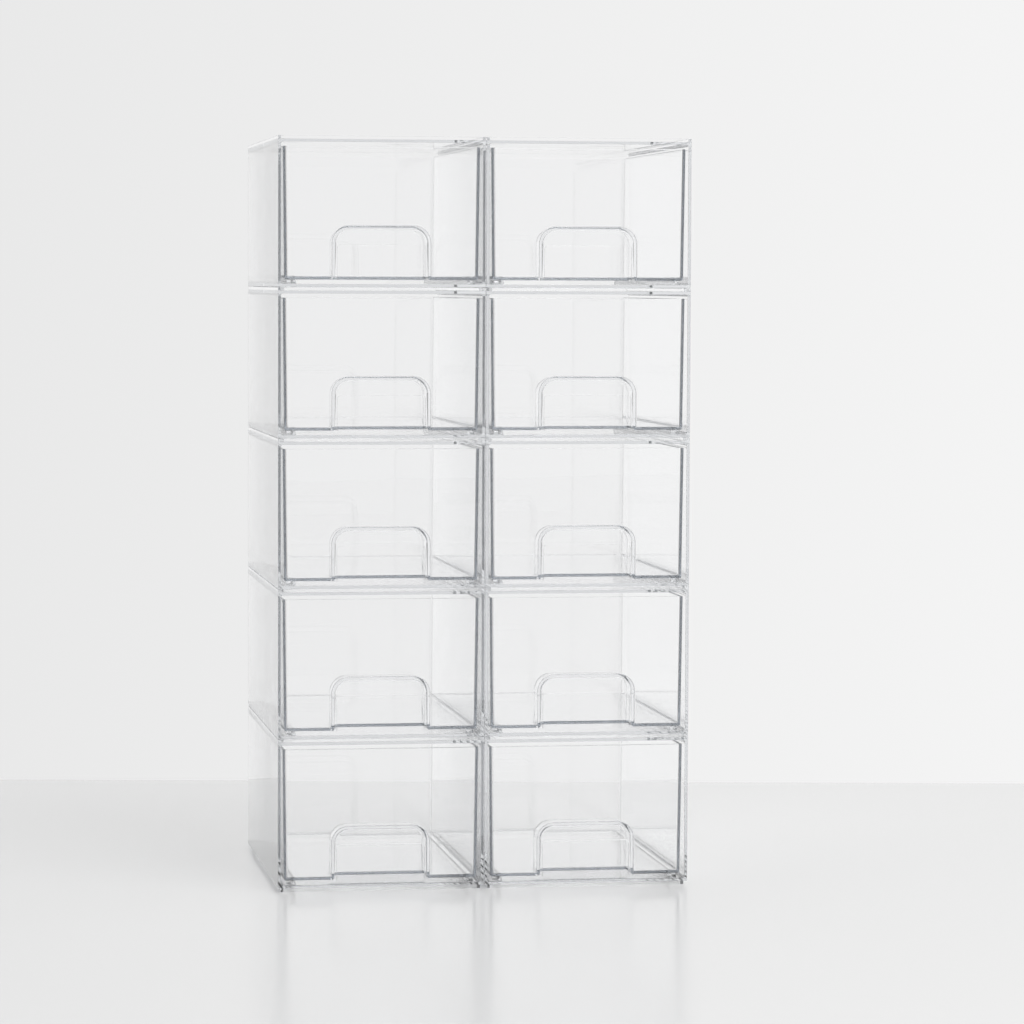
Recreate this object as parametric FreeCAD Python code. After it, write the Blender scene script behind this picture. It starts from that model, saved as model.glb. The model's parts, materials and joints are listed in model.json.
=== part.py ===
import FreeCAD, Part
import math
import os

# A block of clear stacking drawer boxes: columns of casings, each casing with its own drawer.
# Every casing and every drawer is one moulding. X runs to the right along the fronts, Y runs
# from the fronts to the backs, Z runs up. The origin is the middle of the footprint, at the
# level that the feet stand on. All lengths are in millimetres.

# Driving dimensions of one unit
UNIT_WIDTH = 150.7
UNIT_DEPTH = 238.0
UNIT_HEIGHT = 111.3

# How the units stand together
COLUMN_NAMES = ("left", "right")
ROW_COUNT = 5
COLUMN_GAP = 0.6

# Casing shell
CASING_SIDE_WALL = 2.2
CASING_BACK_WALL = 2.2
CASING_FLOOR = 2.2
CASING_TOP = 2.0
CASING_DRAFT = 0.5
CASING_BACK_CORNER_RADIUS = 3.0
CAVITY_CORNER_RADIUS = 1.5

# Raised rim on the casing's top, and the foot of the next casing that seats inside it
RIM_HEIGHT = 2.5
RIM_WALL = 2.0
FOOT_WALL = 2.0
SEAT_CLEARANCE = 0.3

# Runners on the casing's floor that carry the drawer
RUNNER_HEIGHT = 3.0
RUNNER_ROOT_WIDTH = 2.8
RUNNER_CROWN_WIDTH = 1.6
RUNNER_INSET = 12.0
RUNNER_FRONT_SETBACK = 3.0

# Drawer shell
DRAWER_WALL = 2.0
DRAWER_FLOOR = 2.1
DRAWER_DRAFT = 1.0
DRAWER_BACK_TAPER = 0.8
DRAWER_TOP_CLEARANCE = 3.0
DRAWER_SIDE_CLEARANCE = 1.05
DRAWER_BACK_CLEARANCE = 1.2
DRAWER_FRONT_RECESS = 1.5
DRAWER_CORNER_RADIUS = 2.5
DRAWER_INNER_CORNER_RADIUS = 1.2
DRAWER_HEEL_RADIUS = 2.0

# Finger pocket in the drawer's front: an arched box that is open in front and below
POCKET_WIDTH = 71.6
POCKET_HEIGHT = 38.9
POCKET_DEPTH = 24.0
POCKET_RADIUS = 12.5
POCKET_WALL = 2.0
POCKET_DRAFT = 0.5
POCKET_HEEL_RADIUS = 1.8
POCKET_MOUTH_WIDTH = 64.0
POCKET_MOUTH_HEIGHT = 25.2
POCKET_MOUTH_RADIUS = 2.5

# Stops: a bump beside each runner's front end meets a tab under the drawer at full travel
DRAWER_TRAVEL = 165.0
STOP_GAP = 0.2
STOP_SETBACK = 5.0
STOP_LENGTH = 5.0
STOP_WIDTH = 3.0
STOP_HEIGHT = 2.5
STOP_SIDE_CLEARANCE = 0.5

# How far every cutting shape runs past the surface that it opens
OVERRUN = 5.0

# How far a corner may lie from where it is looked for
CORNER_TOLERANCE = 0.01

# Levels and planes that the pieces share
FOOT_HEIGHT = RIM_HEIGHT + SEAT_CLEARANCE
FOOT_INSET = RIM_WALL + SEAT_CLEARANCE
STACK_PITCH = UNIT_HEIGHT - RIM_HEIGHT
COLUMN_PITCH = UNIT_WIDTH + COLUMN_GAP
FLOOR_TOP = FOOT_HEIGHT + CASING_FLOOR
CEILING = STACK_PITCH - CASING_TOP
DRAWER_BOTTOM = FLOOR_TOP + RUNNER_HEIGHT
DRAWER_TOP = CEILING - DRAWER_TOP_CLEARANCE
FRONT = -UNIT_DEPTH / 2
BACK = UNIT_DEPTH / 2
CAVITY_BACK = BACK - CASING_BACK_WALL
CAVITY_BACK_WIDTH = UNIT_WIDTH - 2 * (CASING_SIDE_WALL + CASING_DRAFT)
DRAWER_FRONT = FRONT + DRAWER_FRONT_RECESS
DRAWER_BACK = CAVITY_BACK - DRAWER_BACK_CLEARANCE
DRAWER_FRONT_WIDTH = CAVITY_BACK_WIDTH - 2 * DRAWER_SIDE_CLEARANCE
POCKET_FRONT = DRAWER_FRONT + DRAWER_DRAFT
POCKET_BACK = POCKET_FRONT + POCKET_DEPTH
LIP_BACK = POCKET_FRONT + DRAWER_WALL
RUNNER_X = UNIT_WIDTH / 2 - RUNNER_INSET
STOP_INNER_X = RUNNER_X + RUNNER_ROOT_WIDTH / 2 + STOP_SIDE_CLEARANCE
STOP_REAR = FRONT + STOP_SETBACK + STOP_LENGTH


def plan_corners(front_half_width, back_half_width, front, back, level):
    """The four corners of a plan, from the front left one round to the right."""
    return [
        FreeCAD.Vector(-front_half_width, front, level),
        FreeCAD.Vector(front_half_width, front, level),
        FreeCAD.Vector(back_half_width, back, level),
        FreeCAD.Vector(-back_half_width, back, level),
    ]


def section_corners(half_width, bottom, top, depth):
    """The four corners of an upright section, from the lower left one round to the right."""
    return [
        FreeCAD.Vector(-half_width, depth, bottom),
        FreeCAD.Vector(half_width, depth, bottom),
        FreeCAD.Vector(half_width, depth, top),
        FreeCAD.Vector(-half_width, depth, top),
    ]


def closed(corners):
    """The closed wire through the corners."""
    return Part.makePolygon(corners + [corners[0]])


def rounded(corners, radii):
    """A closed wire through the corners, each one rounded by its own radius."""
    count = len(corners)
    entries = []
    exits = []
    middles = []
    for index, corner in enumerate(corners):
        to_last = (corners[index - 1] - corner).normalize()
        to_next = (corners[(index + 1) % count] - corner).normalize()
        radius = radii[index]
        half_angle = to_last.getAngle(to_next) / 2
        reach = radius / math.tan(half_angle)
        bisector = (to_last + to_next).normalize()
        to_arc = radius / math.sin(half_angle) - radius
        entries.append(corner + to_last * reach)
        exits.append(corner + to_next * reach)
        middles.append(corner + bisector * to_arc)
    edges = []
    for index in range(count):
        if radii[index] > 0:
            arc = Part.Arc(entries[index], middles[index], exits[index])
            edges.append(arc.toShape())
        following = (index + 1) % count
        edges.append(Part.makeLine(exits[index], entries[following]))
    return Part.Wire(edges)


def raised(outline, height):
    """The solid that a plan outline sweeps as it rises by the height."""
    return Part.Face(outline).extrude(FreeCAD.Vector(0, 0, height))


def pushed_back(outline, length):
    """The solid that an upright section sweeps as it goes back by the length."""
    return Part.Face(outline).extrude(FreeCAD.Vector(0, length, 0))


def flat_sided(first, last):
    """The solid between two outlines of as many corners, with a flat face on every side."""
    outlines = [first, last]
    count = len(first)
    for index in range(count):
        following = (index + 1) % count
        outlines.append([first[index], first[following], last[following], last[index]])
    faces = [Part.Face(closed(outline)) for outline in outlines]
    return Part.makeSolid(Part.makeShell(faces)).removeSplitter()


def edges_between(solid, starts, ends):
    """The straight edges of a solid that run from each start to the end of the same index."""
    found = []
    for edge in solid.Edges:
        first, last = edge.firstVertex().Point, edge.lastVertex().Point
        for start, end in zip(starts, ends):
            forward = first.distanceToPoint(start) + last.distanceToPoint(end)
            backward = first.distanceToPoint(end) + last.distanceToPoint(start)
            if min(forward, backward) < CORNER_TOLERANCE:
                found.append(edge)
    return found


def edges_at_level(solid, level):
    """The edges of a solid that lie at one level."""
    found = []
    for edge in solid.Edges:
        heights = [abs(vertex.Point.z - level) for vertex in edge.Vertexes]
        if max(heights) < CORNER_TOLERANCE:
            found.append(edge)
    return found


def casing_plan(inset, level):
    """The corners of the casing's plan, drawn in by the inset."""
    half_width = UNIT_WIDTH / 2 - inset
    return plan_corners(half_width, half_width, FRONT + inset, BACK - inset, level)


def inset_block(inset, bottom, top):
    """A block as large as the casing's plan drawn in by the inset, between two levels."""
    return flat_sided(casing_plan(inset, bottom), casing_plan(inset, top))


def casing_body():
    """The outer block of the casing, from the foot's shoulder up to the rim, round at the back."""
    radii = [0, 0, CASING_BACK_CORNER_RADIUS, CASING_BACK_CORNER_RADIUS]
    return raised(rounded(casing_plan(0, FOOT_HEIGHT), radii), UNIT_HEIGHT - FOOT_HEIGHT)


def cavity_section(depth):
    """The corners of the drawer's space in the casing at one depth: it narrows to the back."""
    draft = CASING_DRAFT * (CAVITY_BACK - depth) / (CAVITY_BACK - FRONT)
    return section_corners(CAVITY_BACK_WIDTH / 2 + draft, FLOOR_TOP, CEILING, depth)


def casing_cavity():
    """The space that the drawer goes into, open in front, with its long edges rounded."""
    mouth = cavity_section(FRONT - OVERRUN)
    end = cavity_section(CAVITY_BACK)
    block = flat_sided(mouth, end)
    return block.makeFillet(CAVITY_CORNER_RADIUS, edges_between(block, mouth, end))


def rim_recess():
    """The shallow tray on top of the casing, which the next casing's foot drops into."""
    return inset_block(RIM_WALL, STACK_PITCH, UNIT_HEIGHT + OVERRUN)


def foot_ring():
    """The ring under the casing's floor, small enough to seat inside a rim."""
    outside = inset_block(FOOT_INSET, 0, FOOT_HEIGHT)
    return outside.cut(inset_block(FOOT_INSET + FOOT_WALL, -OVERRUN, FOOT_HEIGHT + OVERRUN))


def runner(side):
    """One rib along the casing's floor, with sloping flanks and a flat crown."""
    start = FRONT + RUNNER_FRONT_SETBACK
    middle = FreeCAD.Vector(side * RUNNER_X, start, 0)
    corners = [
        middle + FreeCAD.Vector(-RUNNER_ROOT_WIDTH / 2, 0, FLOOR_TOP),
        middle + FreeCAD.Vector(RUNNER_ROOT_WIDTH / 2, 0, FLOOR_TOP),
        middle + FreeCAD.Vector(RUNNER_CROWN_WIDTH / 2, 0, DRAWER_BOTTOM),
        middle + FreeCAD.Vector(-RUNNER_CROWN_WIDTH / 2, 0, DRAWER_BOTTOM),
    ]
    return pushed_back(closed(corners), CAVITY_BACK - start)


def stop_wedge(side, steep_face, slope_end, root_level, crown_level):
    """A stop with one steep face and one sloping face, beside the runner on its outer side."""
    x = side * STOP_INNER_X
    corners = [
        FreeCAD.Vector(x, steep_face, root_level),
        FreeCAD.Vector(x, slope_end, root_level),
        FreeCAD.Vector(x, steep_face, crown_level),
    ]
    return Part.Face(closed(corners)).extrude(FreeCAD.Vector(side * STOP_WIDTH, 0, 0))


def make_casing():
    """One casing, standing on the origin's level in the middle of the block."""
    casing = casing_body().cut(casing_cavity()).cut(rim_recess())
    additions = [foot_ring()]
    for side in (-1, 1):
        additions.append(runner(side))
        additions.append(
            stop_wedge(side, STOP_REAR, STOP_REAR - STOP_LENGTH, FLOOR_TOP, FLOOR_TOP + STOP_HEIGHT)
        )
    return casing.fuse(additions).removeSplitter()


def drawer_plan(wall, level):
    """The corners of the drawer's plan at a level: the wall is zero outside, its own inside."""
    draft = DRAWER_DRAFT * (DRAWER_TOP - level) / (DRAWER_TOP - DRAWER_BOTTOM)
    inset = draft + wall
    front = DRAWER_FRONT + inset
    back = DRAWER_BACK - inset
    narrowing = DRAWER_BACK_TAPER / (DRAWER_BACK - DRAWER_FRONT)
    front_half_width = DRAWER_FRONT_WIDTH / 2 - narrowing * (front - DRAWER_FRONT) - inset
    back_half_width = DRAWER_FRONT_WIDTH / 2 - narrowing * (back - DRAWER_FRONT) - inset
    return plan_corners(front_half_width, back_half_width, front, back, level)


def drawer_outside():
    """The drawer's outer form: drafted sides with round corners, and a round heel below."""
    bottom = drawer_plan(0, DRAWER_BOTTOM)
    top = drawer_plan(0, DRAWER_TOP)
    block = flat_sided(bottom, top)
    round_heel = block.makeFillet(DRAWER_HEEL_RADIUS, edges_at_level(block, DRAWER_BOTTOM))
    round_corners = block.makeFillet(DRAWER_CORNER_RADIUS, edges_between(block, bottom, top))
    return round_heel.common(round_corners)


def drawer_inside():
    """The space inside the drawer, parallel to its outside and open above."""
    bottom = drawer_plan(DRAWER_WALL, DRAWER_BOTTOM + DRAWER_FLOOR)
    top = drawer_plan(DRAWER_WALL, DRAWER_TOP + OVERRUN)
    block = flat_sided(bottom, top)
    return block.makeFillet(DRAWER_INNER_CORNER_RADIUS, edges_between(block, bottom, top))


def pocket_section(shrink, depth, drop):
    """The corners of the pocket at one depth: the shrink is its wall, the drop goes below it."""
    draft = POCKET_DRAFT * (depth - POCKET_FRONT) / POCKET_DEPTH
    half_width = POCKET_WIDTH / 2 - draft - shrink
    crown = DRAWER_BOTTOM + POCKET_HEIGHT - draft - shrink
    return section_corners(half_width, DRAWER_BOTTOM - drop, crown, depth)


def pocket_arch(shrink, front, back, drop):
    """An arched block between two depths, which narrows towards its back."""
    first = pocket_section(shrink, front, drop)
    last = pocket_section(shrink, back, drop)
    block = flat_sided(first, last)
    return block.makeFillet(POCKET_RADIUS - shrink, edges_between(block, first[2:], last[2:]))


def pocket_mouth():
    """The opening in the drawer's front that the fingers go through."""
    start = FRONT - OVERRUN
    corners = section_corners(
        POCKET_MOUTH_WIDTH / 2, DRAWER_BOTTOM - OVERRUN, DRAWER_BOTTOM + POCKET_MOUTH_HEIGHT, start
    )
    outline = rounded(corners, [0, 0, POCKET_MOUTH_RADIUS, POCKET_MOUTH_RADIUS])
    return pushed_back(outline, LIP_BACK + OVERRUN - start)


def pocket_heel_edges(drawer):
    """The edges where the pocket's sides and its back turn out into the drawer's underside."""
    front_corners = pocket_section(POCKET_WALL, LIP_BACK, 0)[:2]
    back_corners = pocket_section(POCKET_WALL, POCKET_BACK - POCKET_WALL, 0)[:2]
    starts = front_corners + [back_corners[0]]
    return edges_between(drawer, starts, back_corners + [back_corners[1]])


def make_drawer():
    """One drawer, shut, in the casing that stands in the middle of the block."""
    pocket = pocket_arch(0, POCKET_FRONT, POCKET_BACK, 0)
    hollow = pocket_arch(POCKET_WALL, LIP_BACK, POCKET_BACK - POCKET_WALL, OVERRUN)
    drawer = drawer_outside().cut(drawer_inside()).fuse(pocket).cut(hollow).cut(pocket_mouth())
    drawer = drawer.makeFillet(POCKET_HEEL_RADIUS, pocket_heel_edges(drawer))
    tab_face = STOP_REAR + DRAWER_TRAVEL + STOP_GAP
    tab_end = tab_face + STOP_LENGTH
    tabs = []
    for side in (-1, 1):
        tabs.append(stop_wedge(side, tab_face, tab_end, DRAWER_BOTTOM, DRAWER_BOTTOM - STOP_HEIGHT))
    return drawer.fuse(tabs).removeSplitter()


def unit_place(column, row):
    """Where the unit of a column and a row stands, counted from the left and from the bottom."""
    first_x = -COLUMN_PITCH * (len(COLUMN_NAMES) - 1) / 2
    return FreeCAD.Vector(first_x + column * COLUMN_PITCH, 0, row * STACK_PITCH)


def export(shape, name):
    """Write one piece to its own file, and say how large it is."""
    shape.exportStep(os.path.join("parts", name + ".step"))
    print(name, "solids", len(shape.Solids), "volume", round(shape.Volume), "valid", shape.isValid())


def main():
    """Write every casing and every drawer of the block."""
    os.makedirs("parts", exist_ok=True)
    casing = make_casing()
    drawer = make_drawer()
    for column, column_name in enumerate(COLUMN_NAMES):
        for row in range(ROW_COUNT):
            place = unit_place(column, row)
            label = column_name + "_row" + str(row + 1)
            export(casing.translated(place), "casing_" + label)
            export(drawer.translated(place), "drawer_" + label)


main()
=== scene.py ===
import json
import math

import bmesh
import bpy
from mathutils import Matrix, Vector


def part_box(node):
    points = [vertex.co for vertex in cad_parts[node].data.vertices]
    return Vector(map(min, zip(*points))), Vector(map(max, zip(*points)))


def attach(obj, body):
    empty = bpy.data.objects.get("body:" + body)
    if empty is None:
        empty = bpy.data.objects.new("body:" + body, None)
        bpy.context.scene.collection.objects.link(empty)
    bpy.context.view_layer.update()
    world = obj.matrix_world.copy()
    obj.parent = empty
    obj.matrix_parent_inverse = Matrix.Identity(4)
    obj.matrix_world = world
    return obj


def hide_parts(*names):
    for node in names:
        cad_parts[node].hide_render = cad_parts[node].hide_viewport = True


# Ten clear drawer boxes, two columns of five, on a pale table. Metres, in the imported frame:
# X runs to the right along the fronts, Y from the fronts to the backs, Z up.

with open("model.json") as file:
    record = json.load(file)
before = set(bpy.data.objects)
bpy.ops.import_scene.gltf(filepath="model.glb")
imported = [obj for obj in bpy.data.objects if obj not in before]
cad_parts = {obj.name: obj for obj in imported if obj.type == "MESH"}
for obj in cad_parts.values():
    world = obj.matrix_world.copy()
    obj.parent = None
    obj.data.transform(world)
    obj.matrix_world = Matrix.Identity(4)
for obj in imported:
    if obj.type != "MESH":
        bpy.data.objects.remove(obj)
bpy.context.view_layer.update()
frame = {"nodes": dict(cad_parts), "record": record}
scene = bpy.context.scene
scene.view_settings.view_transform = "Standard"

# Rounds of the mouldings' edges, and the angles that tell flat faces, creases and edges apart
CASING_ROUND = 0.0003
DRAWER_ROUND = 0.0005
DRAWER_INSIDE_ROUND = 0.0008
POCKET_BACK_ROUND = 0.0012
EDGE_STEPS = 4
WELD_DISTANCE = 0.000002
FLAT_ANGLE = math.radians(0.5)
CREASE_ANGLE = math.radians(35)
EDGE_ANGLE = math.radians(50)
FLATS_WEIGHT = 100

# Edges that stay sharp, measured from a moulding's front and lowest point: stop bumps and tabs
BUMP_FRONT = 0.0045
BUMP_REAR = 0.0105
BUMP_LOW = 0.0045
BUMP_HIGH = 0.008
TAB_HIGH = 0.0045

# Where the finger pocket's back lies, behind the drawer's front
POCKET_BACK_NEAR = 0.0245
POCKET_BACK_FAR = 0.0255

# Clear plastic
PLASTIC_IOR = 1.53
TINT = (0.70, 0.72, 0.745, 1)
CASING_TINT_DENSITY = 3.2
DRAWER_TINT_DENSITY = 12.0
CLEAN = (0.997, 0.998, 1.0, 1)
HAZE_SCALE = 140.0
HAZE_ROUGHNESS = 0.004
FLOW_SCALE = 22.0
FLOW_STRENGTH = 0.02
FLOW_DEPTH = 0.001

# Light paths
LIGHT_PATH_BOUNCES = 128
CLEAR_BOUNCES = 32

# Camera: the photograph's place, heading and lens, found from the boxes' edges
PHOTO_WIDTH = 1024
FOCAL_PIXELS = 3990.8
HEADING = math.radians(9.017)
DOWNWARD_TILT = math.radians(3.306)
ROLL = math.radians(-0.214)
CAMERA_PLACE = Vector((-0.4341, -2.9782, 0.4424))
SENSOR_WIDTH = 36
FAR_CLIP = 60

# Table, square to the camera's heading
TABLE_AHEAD = 3.52
TABLE_BEHIND = 1.2
TABLE_HALF_WIDTH = 2.4
TABLE_THICKNESS = 0.03
TABLE_EDGE_ROUND = 0.003
TABLE_ROUGHNESS = 0.16
GRAIN_SCALE = 400.0
GRAIN_ROUGHNESS = 0.04
CLOUD_SCALE = 1.5
CLOUD_DEPTH = 0.01

# Softbox
SOFTBOX_WIDTH = 1.8
SOFTBOX_HEIGHT = 1.8
SOFTBOX_POWER = 24
SOFTBOX_PLACE = Vector((1.0, -1.6, 2.4))
SOFTBOX_AIM_HEIGHT = 0.2

# Tones
TABLE_TONE = 0.79
BACKDROP_LEFT = 0.815
BACKDROP_RIGHT = 0.905
BACKDROP_SPREAD = 0.26
ROOM_LIGHT = 0.80
STUDIO_SIDE = 0.25
STUDIO_FRONT = 0.95

# Where one part of the studio turns into the next, as the cosine of the angle from its middle
FRONT_TURN = (0.9, 0.955)
TOP_TURN = (0.3, 0.8)
SWEEP_TURN = (0.3, 0.85)
FAR_LEFT_TURN = (0.14, 0.3)


class Wire:
    """One output socket of a node tree. Arithmetic on it adds Math nodes."""

    def __init__(self, nodes, socket):
        self.nodes = nodes
        self.socket = socket

    def _math(self, operation, first, second):
        made = self.nodes.add("ShaderNodeMath", {"operation": operation}, {0: first, 1: second})
        return Wire(self.nodes, made.outputs[0])

    def __add__(self, other):
        return self._math("ADD", self, other)

    def __radd__(self, other):
        return self._math("ADD", other, self)

    def __sub__(self, other):
        return self._math("SUBTRACT", self, other)

    def __rsub__(self, other):
        return self._math("SUBTRACT", other, self)

    def __mul__(self, other):
        return self._math("MULTIPLY", self, other)

    def __rmul__(self, other):
        return self._math("MULTIPLY", other, self)

    def largest(self, other):
        return self._math("MAXIMUM", self, other)

    def least(self, other):
        return self._math("MINIMUM", self, other)


class Nodes:
    """A node tree that nodes are added to by type, settings and socket values."""

    def __init__(self, tree):
        self.tree = tree

    def add(self, kind, settings=None, values=None):
        """Add a node: its settings come first, then its sockets' values or links."""
        made = self.tree.nodes.new(kind)
        for name, value in (settings or {}).items():
            setattr(made, name, value)
        self.feed(made, values or {})
        return made

    def feed(self, node, values):
        """Give a node's sockets, by name or number, their values or links."""
        for name, value in values.items():
            if isinstance(value, Wire):
                self.tree.links.new(value.socket, node.inputs[name])
            else:
                node.inputs[name].default_value = value

    def wire(self, node, output=0):
        return Wire(self, node.outputs[output])

    def noise(self, place, scale, detail):
        """Noise from 0 to 1 over a place."""
        values = {"Vector": place, "Scale": scale, "Detail": detail}
        return self.wire(self.add("ShaderNodeTexNoise", values=values), "Fac")

    def mixed_colour(self, share, first, second):
        """A colour between two colours."""
        made = self.add("ShaderNodeMix", {"data_type": "RGBA"}, {0: share, 6: first, 7: second})
        return self.wire(made, 2)


def grey(level):
    return (level, level, level, 1)


def new_material(name):
    """A material with only a Principled shader and its output, and the nodes to add to."""
    material = bpy.data.materials.new(name)
    material.use_nodes = True
    nodes = Nodes(material.node_tree)
    return material, nodes, material.node_tree.nodes["Principled BSDF"]


def clear_plastic(name, density):
    """Polished clear styrene: colourless through a wall, blue-grey along it, with faint flow."""
    material, nodes, shader = new_material(name)
    place = nodes.wire(nodes.add("ShaderNodeTexCoord"), "Object")
    flow = nodes.noise(place, FLOW_SCALE, 1.0)
    haze = nodes.noise(place, HAZE_SCALE, 3.0)
    polish = haze * HAZE_ROUGHNESS
    bump = nodes.add("ShaderNodeBump", values={
        "Strength": FLOW_STRENGTH,
        "Distance": FLOW_DEPTH,
        "Height": flow,
    })
    clean = nodes.mixed_colour(haze, grey(1.0), CLEAN)
    nodes.feed(shader, {
        "Base Color": clean,
        "Roughness": polish,
        "Normal": nodes.wire(bump, "Normal"),
        "IOR": PLASTIC_IOR,
        "Transmission Weight": 1.0,
    })
    tint = nodes.add("ShaderNodeVolumeAbsorption", values={"Color": TINT, "Density": density})
    output = material.node_tree.nodes["Material Output"]
    nodes.feed(output, {"Volume": nodes.wire(tint)})
    return material


def table_finish():
    """A pale satin table top."""
    material, nodes, shader = new_material("pale_satin_table")
    place = nodes.wire(nodes.add("ShaderNodeTexCoord"), "Object")
    cloud = nodes.noise(place, CLOUD_SCALE, 2.0)
    grain = nodes.noise(place, GRAIN_SCALE, 2.0)
    darker, lighter = grey(TABLE_TONE - CLOUD_DEPTH), grey(TABLE_TONE + CLOUD_DEPTH)
    tone = nodes.mixed_colour(cloud, darker, lighter)
    nodes.feed(shader, {
        "Base Color": tone,
        "Roughness": TABLE_ROUGHNESS + grain * GRAIN_ROUGHNESS,
    })
    return material


def set_world():
    """An even room light and a pale sweep, a little lighter to the right. Light that has been
    turned by the plastic also sees the studio's lit front, top and far left, and darker sides."""
    world = bpy.data.worlds.new("studio")
    scene.world = world
    world.use_nodes = True
    nodes = Nodes(world.node_tree)
    heading = nodes.wire(nodes.add("ShaderNodeTexCoord"), "Generated")

    def towards(direction):
        settings = {"operation": "DOT_PRODUCT"}
        made = nodes.add("ShaderNodeVectorMath", settings, {0: heading, 1: direction})
        return nodes.wire(made, "Value")

    def lit_from(amount, turn):
        made = nodes.add("ShaderNodeMapRange", {"interpolation_type": "SMOOTHSTEP"}, {
            "Value": amount,
            "From Min": turn[0],
            "From Max": turn[1],
        })
        return nodes.wire(made, "Result")

    across = towards((math.cos(HEADING), -math.sin(HEADING), 0))
    ahead = towards((math.sin(HEADING), math.cos(HEADING), 0))
    share = (across * (1 / BACKDROP_SPREAD) + 0.5).largest(0.0).least(1.0)
    sweep = nodes.mixed_colour(share, grey(BACKDROP_LEFT), grey(BACKDROP_RIGHT))
    front = lit_from(towards((0, -1, 0)), FRONT_TURN)
    facing = front.largest(lit_from(towards((0, 0, 1)), TOP_TURN))
    studio = nodes.mixed_colour(facing, grey(STUDIO_SIDE), grey(STUDIO_FRONT))
    wide_sweep = nodes.mixed_colour(lit_from(across * -1, FAR_LEFT_TURN), sweep, grey(STUDIO_FRONT))
    studio = nodes.mixed_colour(lit_from(ahead, SWEEP_TURN), studio, wide_sweep)
    path = nodes.add("ShaderNodeLightPath")
    turned = nodes.wire(path, "Glossy Depth").least(1.0)
    tone = nodes.mixed_colour(turned, sweep, studio)
    off_table = nodes.wire(path, "Diffuse Depth").least(1.0)
    seen = nodes.wire(path, "Is Camera Ray") + nodes.wire(path, "Is Glossy Ray")
    seen = (seen + nodes.wire(path, "Is Transmission Ray")).least(1.0)
    colour = nodes.mixed_colour(seen * (1 - off_table), grey(ROOM_LIGHT), tone)
    background = world.node_tree.nodes["Background"]
    nodes.feed(background, {"Color": colour, "Strength": 1.0})


def make_softbox():
    """A large weak lamp to the right, in front and above: it draws the white lines on the edges."""
    lamp = bpy.data.lights.new("right_softbox", "AREA")
    lamp.shape = "RECTANGLE"
    lamp.size = SOFTBOX_WIDTH
    lamp.size_y = SOFTBOX_HEIGHT
    lamp.energy = SOFTBOX_POWER
    softbox = bpy.data.objects.new("right_softbox", lamp)
    scene.collection.objects.link(softbox)
    softbox.location = SOFTBOX_PLACE
    facing = Vector((0, 0, SOFTBOX_AIM_HEIGHT)) - SOFTBOX_PLACE
    softbox.rotation_euler = facing.to_track_quat("-Z", "Y").to_euler()


def add_object(name, mesh):
    """An object for a mesh, in the scene."""
    made = bpy.data.objects.new(name, mesh)
    scene.collection.objects.link(made)
    return made


def casing_round(middle, hollow, low):
    """How round an edge of a casing is: its stop bumps stay sharp."""
    by_the_bumps = low.y + BUMP_FRONT < middle.y < low.y + BUMP_REAR
    if by_the_bumps and low.z + BUMP_LOW < middle.z < low.z + BUMP_HIGH:
        return 0
    return CASING_ROUND


def drawer_round(middle, hollow, low):
    """How round an edge of a drawer is: rounder inside, and most at the finger pocket's back. Its
    stop tabs stay sharp."""
    if middle.z < low.z + TAB_HIGH:
        return 0
    if hollow:
        return DRAWER_INSIDE_ROUND
    if low.y + POCKET_BACK_NEAR < middle.y < low.y + POCKET_BACK_FAR:
        return POCKET_BACK_ROUND
    return DRAWER_ROUND


def softened(node, edge_round):
    """A new mesh from a moulding: flat faces made whole, edges rounded, flats kept flat."""
    work = bmesh.new()
    work.from_mesh(node.data)
    bmesh.ops.remove_doubles(work, verts=work.verts, dist=WELD_DISTANCE)
    bmesh.ops.dissolve_limit(work, angle_limit=FLAT_ANGLE, verts=work.verts, edges=work.edges)
    for face in work.faces:
        face.smooth = True
    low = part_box(node.name)[0]
    share = work.edges.layers.float.new("bevel_weight_edge")
    for edge in work.edges:
        edge.smooth = edge.calc_face_angle(0) < CREASE_ANGLE
        if edge.calc_face_angle(0) > EDGE_ANGLE:
            middle = (edge.verts[0].co + edge.verts[1].co) / 2
            edge[share] = edge_round(middle, not edge.is_convex, low) / POCKET_BACK_ROUND
    mesh = bpy.data.meshes.new(node.name + "_soft")
    work.to_mesh(mesh)
    work.free()
    helper = add_object(node.name + "_helper", mesh)
    bevel = helper.modifiers.new("edges", "BEVEL")
    bevel.width = POCKET_BACK_ROUND
    bevel.segments = EDGE_STEPS
    bevel.limit_method = "WEIGHT"
    bevel.use_clamp_overlap = False
    bevel.loop_slide = False
    flats = helper.modifiers.new("flats", "WEIGHTED_NORMAL")
    flats.mode = "FACE_AREA"
    flats.weight = FLATS_WEIGHT
    flats.keep_sharp = True
    bpy.context.view_layer.update()
    evaluated = helper.evaluated_get(bpy.context.evaluated_depsgraph_get())
    finished = bpy.data.meshes.new_from_object(evaluated)
    bpy.data.objects.remove(helper)
    return finished


def set_camera():
    """The photograph's camera."""
    lens = bpy.data.cameras.new("photo_lens")
    lens.sensor_width = SENSOR_WIDTH
    lens.lens = FOCAL_PIXELS / PHOTO_WIDTH * SENSOR_WIDTH
    lens.clip_end = FAR_CLIP
    camera = bpy.data.objects.new("photo_camera", lens)
    scene.collection.objects.link(camera)
    forward = Vector((
        math.sin(HEADING) * math.cos(DOWNWARD_TILT),
        math.cos(HEADING) * math.cos(DOWNWARD_TILT),
        -math.sin(DOWNWARD_TILT),
    ))
    level_right = Vector((math.cos(HEADING), -math.sin(HEADING), 0))
    level_up = level_right.cross(forward)
    right = math.cos(ROLL) * level_right - math.sin(ROLL) * level_up
    up = math.sin(ROLL) * level_right + math.cos(ROLL) * level_up
    turn = Matrix((right, up, -forward)).transposed().to_4x4()
    camera.matrix_world = Matrix.Translation(CAMERA_PLACE) @ turn
    scene.camera = camera


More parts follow.
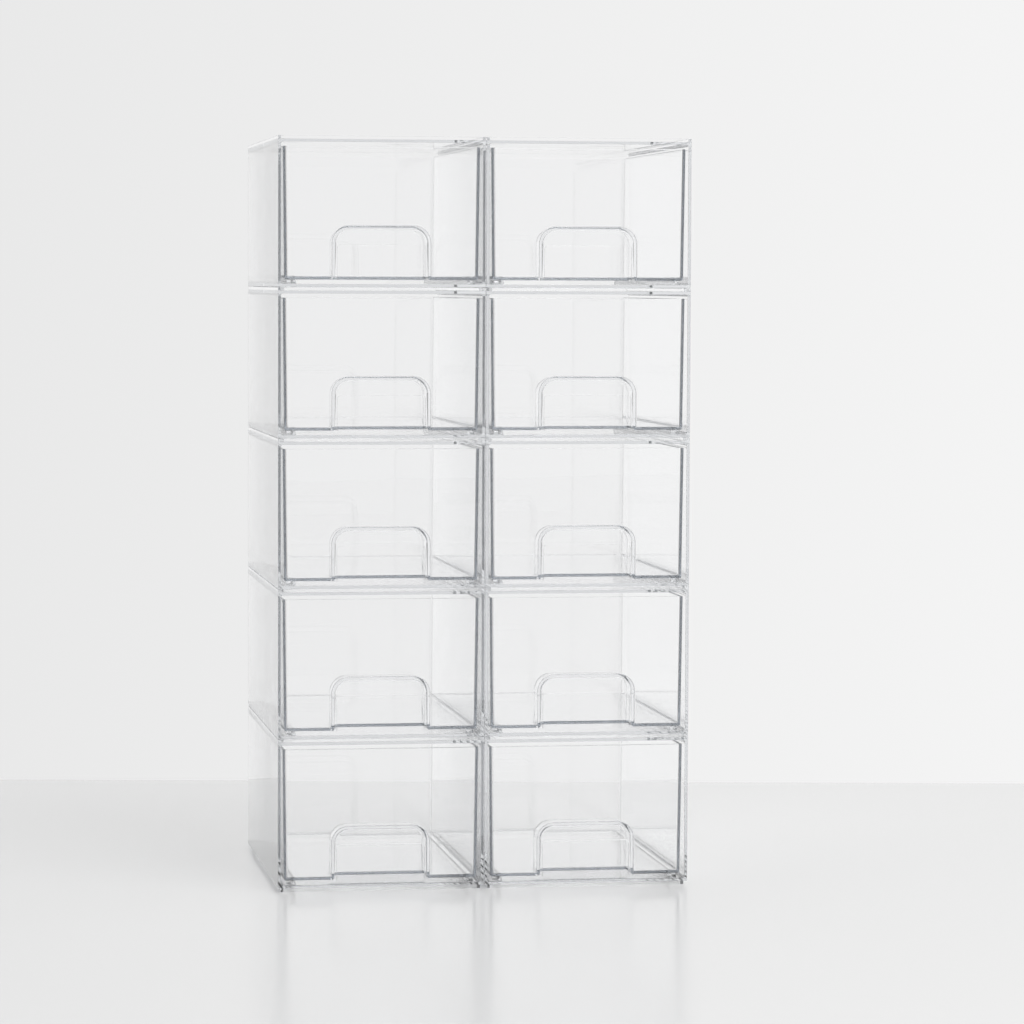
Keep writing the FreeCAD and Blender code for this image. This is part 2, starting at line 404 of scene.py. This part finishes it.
def make_table():
    """The table: its back edge is as far ahead of the camera as in the photograph."""
    work = bmesh.new()
    bmesh.ops.create_cube(work, size=1)
    depth = TABLE_AHEAD + TABLE_BEHIND
    bmesh.ops.scale(work, vec=(2 * TABLE_HALF_WIDTH, depth, TABLE_THICKNESS), verts=work.verts)
    middle = Vector((0, (TABLE_AHEAD - TABLE_BEHIND) / 2, -TABLE_THICKNESS / 2))
    bmesh.ops.translate(work, vec=middle, verts=work.verts)
    bmesh.ops.bevel(
        work,
        geom=work.edges,
        offset=TABLE_EDGE_ROUND,
        segments=EDGE_STEPS,
        profile=0.5,
        affect="EDGES",
    )
    mesh = bpy.data.meshes.new("table")
    work.to_mesh(mesh)
    work.free()
    mesh.materials.append(table_finish())
    table = add_object("table", mesh)
    foot_of_camera = Vector((CAMERA_PLACE.x, CAMERA_PLACE.y, 0))
    table.matrix_world = Matrix.Translation(foot_of_camera) @ Matrix.Rotation(-HEADING, 4, "Z")


def body_holding(node_name):
    """The name of the body that a node rides on."""
    for body, members in frame["record"]["behaviour"]["bodies"].items():
        if node_name in members:
            return body
    raise KeyError(node_name)


def dress(kind, edge_round, finish):
    """Put the finished moulding in the place of every CAD node of its kind."""
    names = sorted(name for name in frame["nodes"] if name.startswith(kind))
    pattern = names[0]
    mesh = softened(frame["nodes"][pattern], edge_round)
    mesh.materials.clear()
    mesh.materials.append(finish)
    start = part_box(pattern)[0]
    for name in names:
        piece = add_object("clear_" + name, mesh)
        piece.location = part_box(name)[0] - start
        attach(piece, body_holding(name))
        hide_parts(name)


def set_light_paths():
    """Enough bounces for light to run along inside a wall and come out at its end, and no
    blurring of the plastic for light from the table, so that the boxes' shadow stays faint."""
    scene.cycles.max_bounces = LIGHT_PATH_BOUNCES
    scene.cycles.transmission_bounces = LIGHT_PATH_BOUNCES
    scene.cycles.glossy_bounces = LIGHT_PATH_BOUNCES
    scene.cycles.transparent_max_bounces = CLEAR_BOUNCES
    scene.cycles.blur_glossy = 0.0


set_world()
make_softbox()
set_camera()
set_light_paths()
make_table()
casing_finish = clear_plastic("clear_casing_plastic", CASING_TINT_DENSITY)
drawer_finish = clear_plastic("clear_drawer_plastic", DRAWER_TINT_DENSITY)
dress("casing", casing_round, casing_finish)
dress("drawer", drawer_round, drawer_finish)
